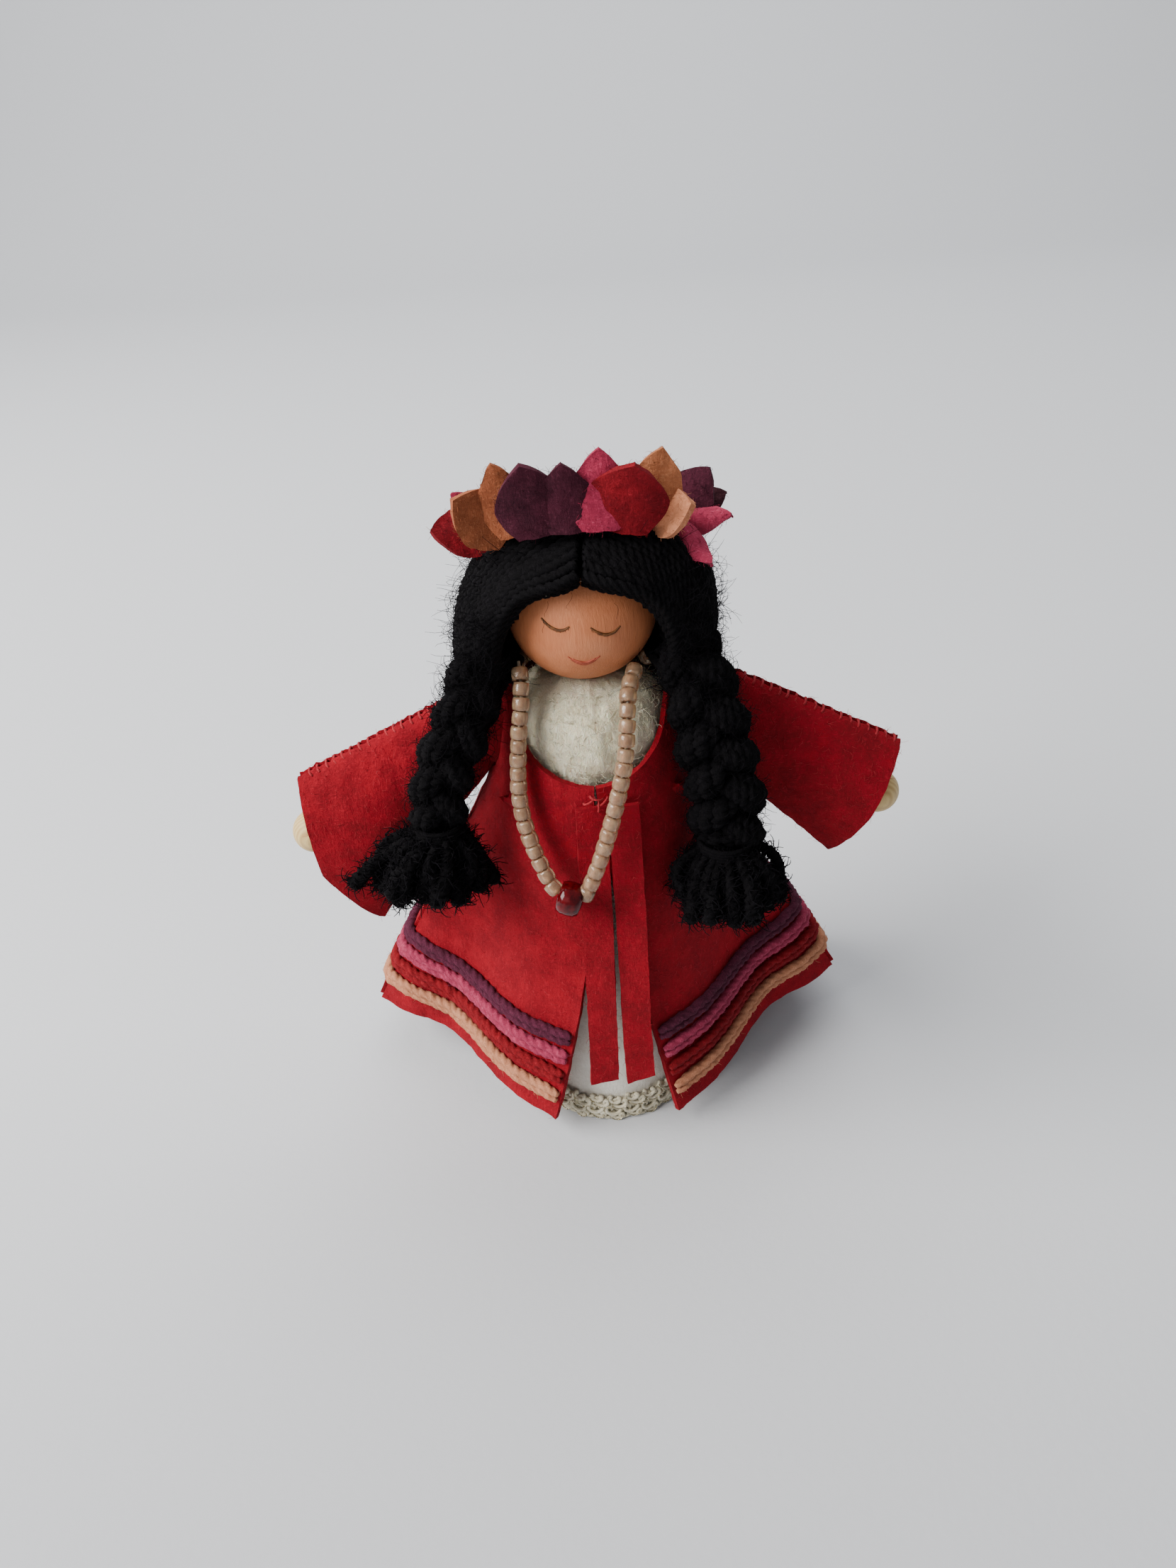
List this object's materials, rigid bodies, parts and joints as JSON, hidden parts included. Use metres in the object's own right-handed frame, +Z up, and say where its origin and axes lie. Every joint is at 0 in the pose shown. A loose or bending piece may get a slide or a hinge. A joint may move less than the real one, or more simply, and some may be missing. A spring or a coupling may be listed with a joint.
{
  "type": "peg doll",
  "caption": "Standing wooden peg doll in an open felt coat with belled sleeves, braided yarn hair, felt leaf crown, bead necklace and hanging felt ties.",
  "frame": {"origin": "centre of the flat base of the wooden peg, on the surface that the doll stands on", "axes": "+Z up along the peg, -Y towards the front of the doll, +X to the right as seen from the front"},
  "size_m": [0.1108, 0.062, 0.1335],
  "materials": {
    "bare_wood": "plain turned beech, lightly waxed",
    "painted_wood": "skin colour painted on turned wood, matt",
    "cream_wool": "fluffy cream wool roving",
    "cream_felt": "smooth cream wool felt",
    "crochet_trim": "crocheted cream yarn with a metallic thread",
    "red_felt": "red wool felt",
    "plum_yarn": "chained wool yarn, dark plum",
    "pink_yarn": "chained wool yarn, rose pink",
    "red_yarn": "chained wool yarn, dark red",
    "peach_yarn": "chained wool yarn, peach",
    "red_thread": "embroidery cotton, red",
    "hair_yarn": "fuzzy black wool yarn",
    "wire": "soft steel craft wire",
    "leaf_red": "red wool felt",
    "leaf_rust": "rust wool felt",
    "leaf_plum": "dark plum wool felt",
    "leaf_raspberry": "raspberry wool felt",
    "leaf_tan": "tan wool felt",
    "leaf_peach": "peach wool felt",
    "leaf_brown": "brown wool felt",
    "leaf_pink": "pink wool felt",
    "bead_glass": "clear glass seed beads lined in champagne pink",
    "pendant_glass": "dark red glass, polished",
    "bead_thread": "fine beading thread"
  },
  "bodies": {
    "doll": {"peg_body": "bare_wood", "head_ball": "painted_wood", "wool_bodice": "cream_wool", "felt_dress": "cream_felt", "hem_trim": "crochet_trim", "shoulder_wire": "wire", "coat_back": "red_felt", "coat_left_front": "red_felt", "coat_right_front": "red_felt", "hem_band_plum": "plum_yarn", "hem_band_pink": "pink_yarn", "hem_band_red": "red_yarn", "hem_band_peach": "peach_yarn", "front_stitch": "red_thread", "hair_left_half": "hair_yarn", "hair_right_half": "hair_yarn", "parting_seam": "hair_yarn", "crown_cord": "hair_yarn", "leaves_red": "leaf_red", "leaves_rust": "leaf_rust", "leaves_plum": "leaf_plum", "leaves_raspberry": "leaf_raspberry", "leaves_tan": "leaf_tan", "leaves_peach": "leaf_peach", "leaves_brown": "leaf_brown", "leaves_pink": "leaf_pink", "nape_thread": "bead_thread", "nape_beads": "bead_glass", "left_tie": "red_felt", "right_tie": "red_felt"},
    "left_arm": {"left_arm_wire": "wire", "left_hand_bead": "bare_wood", "left_sleeve": "red_felt", "left_sleeve_stitches": "red_thread"},
    "right_arm": {"right_arm_wire": "wire", "right_hand_bead": "bare_wood", "right_sleeve": "red_felt", "right_sleeve_stitches": "red_thread"},
    "left_plait": {"left_braid": "hair_yarn", "left_braid_tie": "hair_yarn", "left_tassel": "hair_yarn"},
    "right_plait": {"right_braid": "hair_yarn", "right_braid_tie": "hair_yarn", "right_tassel": "hair_yarn"},
    "necklace": {"necklace_thread": "bead_thread", "necklace_left_beads": "bead_glass", "necklace_right_beads": "bead_glass", "necklace_pendant": "pendant_glass"}
  },
  "joints": [
    {"name": "left_shoulder_bend", "type": "hinge", "parent": "doll", "child": "left_arm", "pos_m": [-0.0163, 0, 0.084], "axis": [0, 1, 0], "range_deg": [-10, 50]},
    {"name": "right_shoulder_bend", "type": "hinge", "parent": "doll", "child": "right_arm", "pos_m": [0.0163, 0, 0.084], "axis": [0, -1, 0], "range_deg": [-10, 50]},
    {"name": "left_plait_swing", "type": "hinge", "parent": "doll", "child": "left_plait", "pos_m": [-0.0165, -0.0055, 0.1], "axis": [-1, 0, 0], "range_deg": [0, 50]},
    {"name": "right_plait_swing", "type": "hinge", "parent": "doll", "child": "right_plait", "pos_m": [0.0158, -0.0063, 0.1005], "axis": [-1, 0, 0], "range_deg": [0, 50]},
    {"name": "necklace_swing", "type": "hinge", "parent": "doll", "child": "necklace", "pos_m": [-0.0015, -0.0072, 0.0974], "axis": [-0.9924, 0.0633, 0.1056], "range_deg": [0, 35]}
  ]
}
